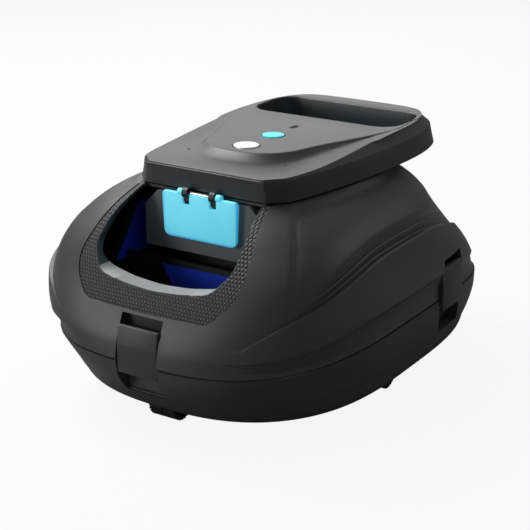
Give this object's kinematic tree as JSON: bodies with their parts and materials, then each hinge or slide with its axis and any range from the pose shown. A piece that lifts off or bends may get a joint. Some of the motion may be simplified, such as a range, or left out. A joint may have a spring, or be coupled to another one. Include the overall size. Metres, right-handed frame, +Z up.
{
  "type": "robotic pool cleaner",
  "caption": "Low domed robotic pool cleaner with a flat-topped control module and carry handle, jet windows at both ends and a latched debris tray on wheels.",
  "frame": {"origin": "on the ground under the middle of the body", "axes": "+Z up; -Y is the front, the end opposite the carry handle; +X is to the right for someone who looks along +Y"},
  "size_m": [0.3, 0.4038, 0.2175],
  "materials": {
    "shell": "fine spark-textured charcoal",
    "tray": "fine spark-textured charcoal",
    "head": "fine spark-textured charcoal",
    "black_plastic": "satin moulded",
    "grey_plastic": "satin moulded",
    "flap_blue": "satin moulded sky blue",
    "cyan": "satin cyan",
    "silver": "fine brushed, domed",
    "rubber": "matt moulded rubber",
    "steel": "plain turned",
    "screen_blue": "woven fine mesh",
    "lens": "clear black window",
    "battery": "shrink-wrap film",
    "board": "solder-masked board",
    "motor_steel": "rolled can"
  },
  "bodies": {
    "base": {"debris_tray": "tray", "axle_front": "steel", "axle_right": "steel", "axle_rear": "steel", "axle_left": "steel", "latch_pin_front": "steel", "latch_pin_right": "steel", "latch_pin_rear": "steel", "latch_pin_left": "steel", "intake_duct": "black_plastic", "brush_strip_front": "rubber", "brush_strip_rear": "rubber", "filter_frame": "black_plastic", "filter_screen_front": "screen_blue", "filter_screen_right": "screen_blue", "filter_screen_rear": "screen_blue", "filter_screen_left": "screen_blue"},
    "upper": {"upper_shell": "shell", "nozzle_duct_front": "grey_plastic", "nozzle_duct_rear": "grey_plastic", "flap_hooks_front": "black_plastic", "flap_hooks_rear": "black_plastic", "flap_pin_front": "steel", "flap_pin_rear": "steel", "drive_housing": "black_plastic", "drive_seal": "rubber", "drive_lid": "black_plastic", "battery_pack": "battery", "circuit_board": "board", "motor_front": "motor_steel", "motor_rear": "motor_steel", "head_base": "head", "head_cover": "head", "button_spring": "steel", "charge_socket": "black_plastic", "status_lens": "lens", "water_sensor_left": "steel", "water_sensor_right": "steel", "head_screw_left": "steel", "head_screw_right": "steel", "head_screw_rear_left": "steel", "head_screw_rear_right": "steel"},
    "wheel_front": {"wheel_front": "rubber"},
    "wheel_right": {"wheel_right": "rubber"},
    "wheel_rear": {"wheel_rear": "rubber"},
    "wheel_left": {"wheel_left": "rubber"},
    "latch_front": {"latch_front": "tray"},
    "latch_right": {"latch_right": "tray"},
    "latch_rear": {"latch_rear": "tray"},
    "latch_left": {"latch_left": "tray"},
    "intake_flap_front": {"intake_flap_front": "rubber"},
    "intake_flap_rear": {"intake_flap_rear": "rubber"},
    "nozzle_flap_front": {"nozzle_flap_front": "flap_blue"},
    "nozzle_flap_rear": {"nozzle_flap_rear": "flap_blue"},
    "power_button": {"power_button": "silver"},
    "charge_cap": {"charge_cap": "cyan"},
    "impeller_front": {"impeller_front": "cyan", "motor_shaft_front": "steel"},
    "impeller_rear": {"impeller_rear": "cyan", "motor_shaft_rear": "steel"}
  },
  "joints": [
    {"name": "shell_lift", "type": "slide", "parent": "base", "child": "upper", "axis": [0, 0, 1], "range_m": [0, 0.12]},
    {"name": "wheel_spin_front", "type": "hinge", "parent": "base", "child": "wheel_front", "pos_m": [0, -0.154, 0.014], "axis": [1, 0, 0], "continuous": true},
    {"name": "wheel_spin_right", "type": "hinge", "parent": "base", "child": "wheel_right", "pos_m": [0.126, 0, 0.014], "axis": [1, 0, 0], "continuous": true},
    {"name": "wheel_spin_rear", "type": "hinge", "parent": "base", "child": "wheel_rear", "pos_m": [0, 0.154, 0.014], "axis": [1, 0, 0], "continuous": true},
    {"name": "wheel_spin_left", "type": "hinge", "parent": "base", "child": "wheel_left", "pos_m": [-0.126, 0, 0.014], "axis": [1, 0, 0], "continuous": true},
    {"name": "latch_open_front", "type": "hinge", "parent": "base", "child": "latch_front", "pos_m": [0, -0.1958, 0.0585], "axis": [1, 0, 0], "range_deg": [0, 50]},
    {"name": "latch_open_right", "type": "hinge", "parent": "base", "child": "latch_right", "pos_m": [0.1448, 0.092, 0.0585], "axis": [0, 1, 0], "range_deg": [0, 50]},
    {"name": "latch_open_rear", "type": "hinge", "parent": "base", "child": "latch_rear", "pos_m": [0, 0.1958, 0.0585], "axis": [-1, 0, 0], "range_deg": [0, 50]},
    {"name": "latch_open_left", "type": "hinge", "parent": "base", "child": "latch_left", "pos_m": [-0.1448, 0.092, 0.0585], "axis": [0, -1, 0], "range_deg": [0, 50]},
    {"name": "intake_flap_front_open", "type": "hinge", "parent": "base", "child": "intake_flap_front", "pos_m": [0, -0.024, 0.05192], "axis": [1, 0, 0], "range_deg": [0, 45]},
    {"name": "intake_flap_rear_open", "type": "hinge", "parent": "base", "child": "intake_flap_rear", "pos_m": [0, 0.024, 0.05192], "axis": [-1, 0, 0], "range_deg": [0, 45]},
    {"name": "nozzle_flap_front_open", "type": "hinge", "parent": "upper", "child": "nozzle_flap_front", "pos_m": [0, -0.1055, 0.1885], "axis": [-1, 0, 0], "range_deg": [0, 60]},
    {"name": "nozzle_flap_rear_open", "type": "hinge", "parent": "upper", "child": "nozzle_flap_rear", "pos_m": [0, 0.1055, 0.1885], "axis": [1, 0, 0], "range_deg": [0, 60]},
    {"name": "power_press", "type": "slide", "parent": "upper", "child": "power_button", "axis": [0, 0, -1], "range_m": [0, 0.0015], "stiffness_N_per_m": 400, "deforming": ["button_spring"]},
    {"name": "charge_cap_pull", "type": "slide", "parent": "upper", "child": "charge_cap", "axis": [0, 0, 1], "range_m": [0, 0.02]},
    {"name": "impeller_spin_front", "type": "hinge", "parent": "upper", "child": "impeller_front", "pos_m": [0, -0.0917, 0.163], "axis": [0, 1, 0], "continuous": true},
    {"name": "impeller_spin_rear", "type": "hinge", "parent": "upper", "child": "impeller_rear", "pos_m": [0, 0.0917, 0.163], "axis": [0, 1, 0], "continuous": true}
  ]
}
